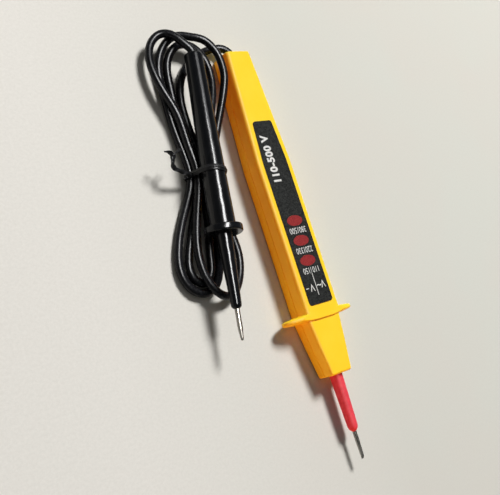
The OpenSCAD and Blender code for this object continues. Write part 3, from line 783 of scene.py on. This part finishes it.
def add_print():
    ink = print_ink()
    for i, values in enumerate(ROWS):
        y = ROW_Y - i * ROW_PITCH
        parts = [lettering(value, (x, y), DIGIT_H, READ_ROWS, DIGIT_SQUEEZE)
                 for value, x in zip(values, (GROUP_X, -GROUP_X))]
        parts.append(bar((-BAR_LEAN, y - BAR_REACH), (BAR_LEAN, y + BAR_REACH), BAR_W))
        printed(f"print_row_{i + 1}", parts, ink)
    signs = [lettering(text, centre, height, READ_ROWS, squeeze, bold)
             for text, centre, height, squeeze, bold in SIGNS]
    printed("print_ranges", signs + [bar(*line) for line in SIGN_LINES], ink)
    heading = lettering(HEADING, HEADING_AT, HEADING_H, READ_HEADING, HEADING_SQUEEZE,
                        HEADING_BOLD, HEADING_SPACING)
    printed("print_heading", [heading], ink)


add_print()

# Table, lamps and world, with lengths in metres

TABLE_SIZE = 4.0
# Point that the square lamps face
LAMP_AIM = Vector((-0.015, -0.01, 0.005))
# Main lamp, from the rear right, and the red, green and blue that it gives a level white surface
KEY_DIRECTION = (0.6, 0.72, 1.0)
KEY_DISTANCE = 2.6
KEY_SIZE = 0.6
KEY_SHARE = (0.89, 0.9, 0.905)
# Two lamps overhead that show only in glossy surfaces
OVERHEAD_TURN = math.radians(42)
TUBE_AT = (-0.12, 0.3, 1.2)
TUBE_SIZE = (0.58, 0.32)
TUBE_RADIANCE = 56
GLOW_AT = (0.17, 0.66, 1.2)
GLOW_SIZE = (0.5, 0.52)
GLOW_RADIANCE = 5
# Two warm lamps for the coloured plastics alone, which pass some light on to where they are in shade
FILL_DIRECTION = (-1.0, -0.9, 0.6)
FILL_SHARE = (0.37, 0.035, 0.01)
FRONT_DIRECTION = (-0.1, -1.0, 0.2)
FRONT_SHARE = (0.32, 0.16, 0.0)
FILL_DISTANCE = 1.4
FILL_SIZE = 0.7
FILL_NODES = ("upper_shell", "lower_shell", "pin_sleeve")
# The only piece that shades the warm lamps. It is inside the case, so nothing that shows does
FILL_BLOCKER = "pin_wire"
# The world as a light, and as seen in reflections from the horizon up to the zenith
WORLD_LIGHT = (0.1, 0.1, 0.095, 1)
WORLD_HORIZON = (0.24, 0.245, 0.25, 1)
WORLD_ZENITH = (0.10, 0.105, 0.11, 1)
# Heights, as sines of elevation, between which the one turns into the other
HORIZON_TOP = 0.1
ZENITH_FOOT = 0.6


def add_table():
    half = TABLE_SIZE / 2
    corners = [(-half, -half, 0), (half, -half, 0), (half, half, 0), (-half, half, 0)]
    mesh = bpy.data.meshes.new("table_top")
    mesh.from_pydata(corners, [], [(0, 1, 2, 3)])
    mesh.materials.append(table_top())
    new_object("table_top", mesh)


def add_matt(name, direction, distance, size, share):
    """Square lamp, unseen in reflections, that gives a surface facing it the share of full light."""
    away = Vector(direction).normalized()
    data = bpy.data.lights.new(name, "AREA")
    data.size = size
    strength = max(share)
    data.energy = math.pi ** 2 * distance ** 2 * strength
    data.color = [value / strength for value in share]
    lamp = new_object(name, data)
    lamp.location = LAMP_AIM + away * distance
    lamp.rotation_mode = "QUATERNION"
    lamp.rotation_quaternion = away.to_track_quat("Z", "Y")
    lamp.visible_glossy = False
    return lamp


def add_mirrored(name, at, size, radiance):
    """Level rectangular lamp that is seen only in reflections."""
    data = bpy.data.lights.new(name, "AREA")
    data.shape = "RECTANGLE"
    data.size, data.size_y = size
    data.energy = math.pi * size[0] * size[1] * radiance
    lamp = new_object(name, data)
    lamp.location = at
    lamp.rotation_euler = (0, 0, OVERHEAD_TURN)
    lamp.visible_diffuse = False


def node_collection(name, members):
    """Collection of CAD nodes for a lamp's light linking."""
    collection = bpy.data.collections.new(name)
    for member in members:
        collection.objects.link(nodes[member])
    return collection


def add_lamps():
    slope = Vector(KEY_DIRECTION).normalized().z
    add_matt("key", KEY_DIRECTION, KEY_DISTANCE, KEY_SIZE, [value / slope for value in KEY_SHARE])
    lit = node_collection("fill_lights", FILL_NODES)
    blockers = node_collection("fill_blockers", [FILL_BLOCKER])
    for name, direction, share in (("fill", FILL_DIRECTION, FILL_SHARE),
                                   ("front", FRONT_DIRECTION, FRONT_SHARE)):
        lamp = add_matt(name, direction, FILL_DISTANCE, FILL_SIZE, share)
        lamp.light_linking.receiver_collection = lit
        lamp.light_linking.blocker_collection = blockers
    add_mirrored("tube", TUBE_AT, TUBE_SIZE, TUBE_RADIANCE)
    add_mirrored("glow", GLOW_AT, GLOW_SIZE, GLOW_RADIANCE)


def add_world():
    """Dim even light. The camera, glossy surfaces and glass see a soft gradient instead."""
    world = bpy.data.worlds.new("studio")
    bpy.context.scene.world = world
    world.use_nodes = True
    sky = NodeTree(world.node_tree)
    place = sky.add("ShaderNodeTexCoord")
    axes = sky.add("ShaderNodeSeparateXYZ")
    sky.link(place.outputs["Generated"], axes.inputs["Vector"])
    height = sky.ranged(axes.outputs["Z"], 0, 1, HORIZON_TOP, ZENITH_FOOT, "SMOOTHSTEP")
    gradient = sky.mixed(height, WORLD_HORIZON, WORLD_ZENITH)
    rays = sky.add("ShaderNodeLightPath")
    shown = rays.outputs["Is Camera Ray"]
    for key in ("Is Glossy Ray", "Is Transmission Ray"):
        larger = sky.add("ShaderNodeMath", operation="MAXIMUM")
        sky.link(shown, larger.inputs[0])
        sky.link(rays.outputs[key], larger.inputs[1])
        shown = larger.outputs["Value"]
    background = sky.tree.nodes["Background"]
    sky.link(sky.mixed(shown, WORLD_LIGHT, gradient), background.inputs["Color"])


add_table()
add_lamps()
add_world()
bpy.context.scene.view_settings.view_transform = "Standard"
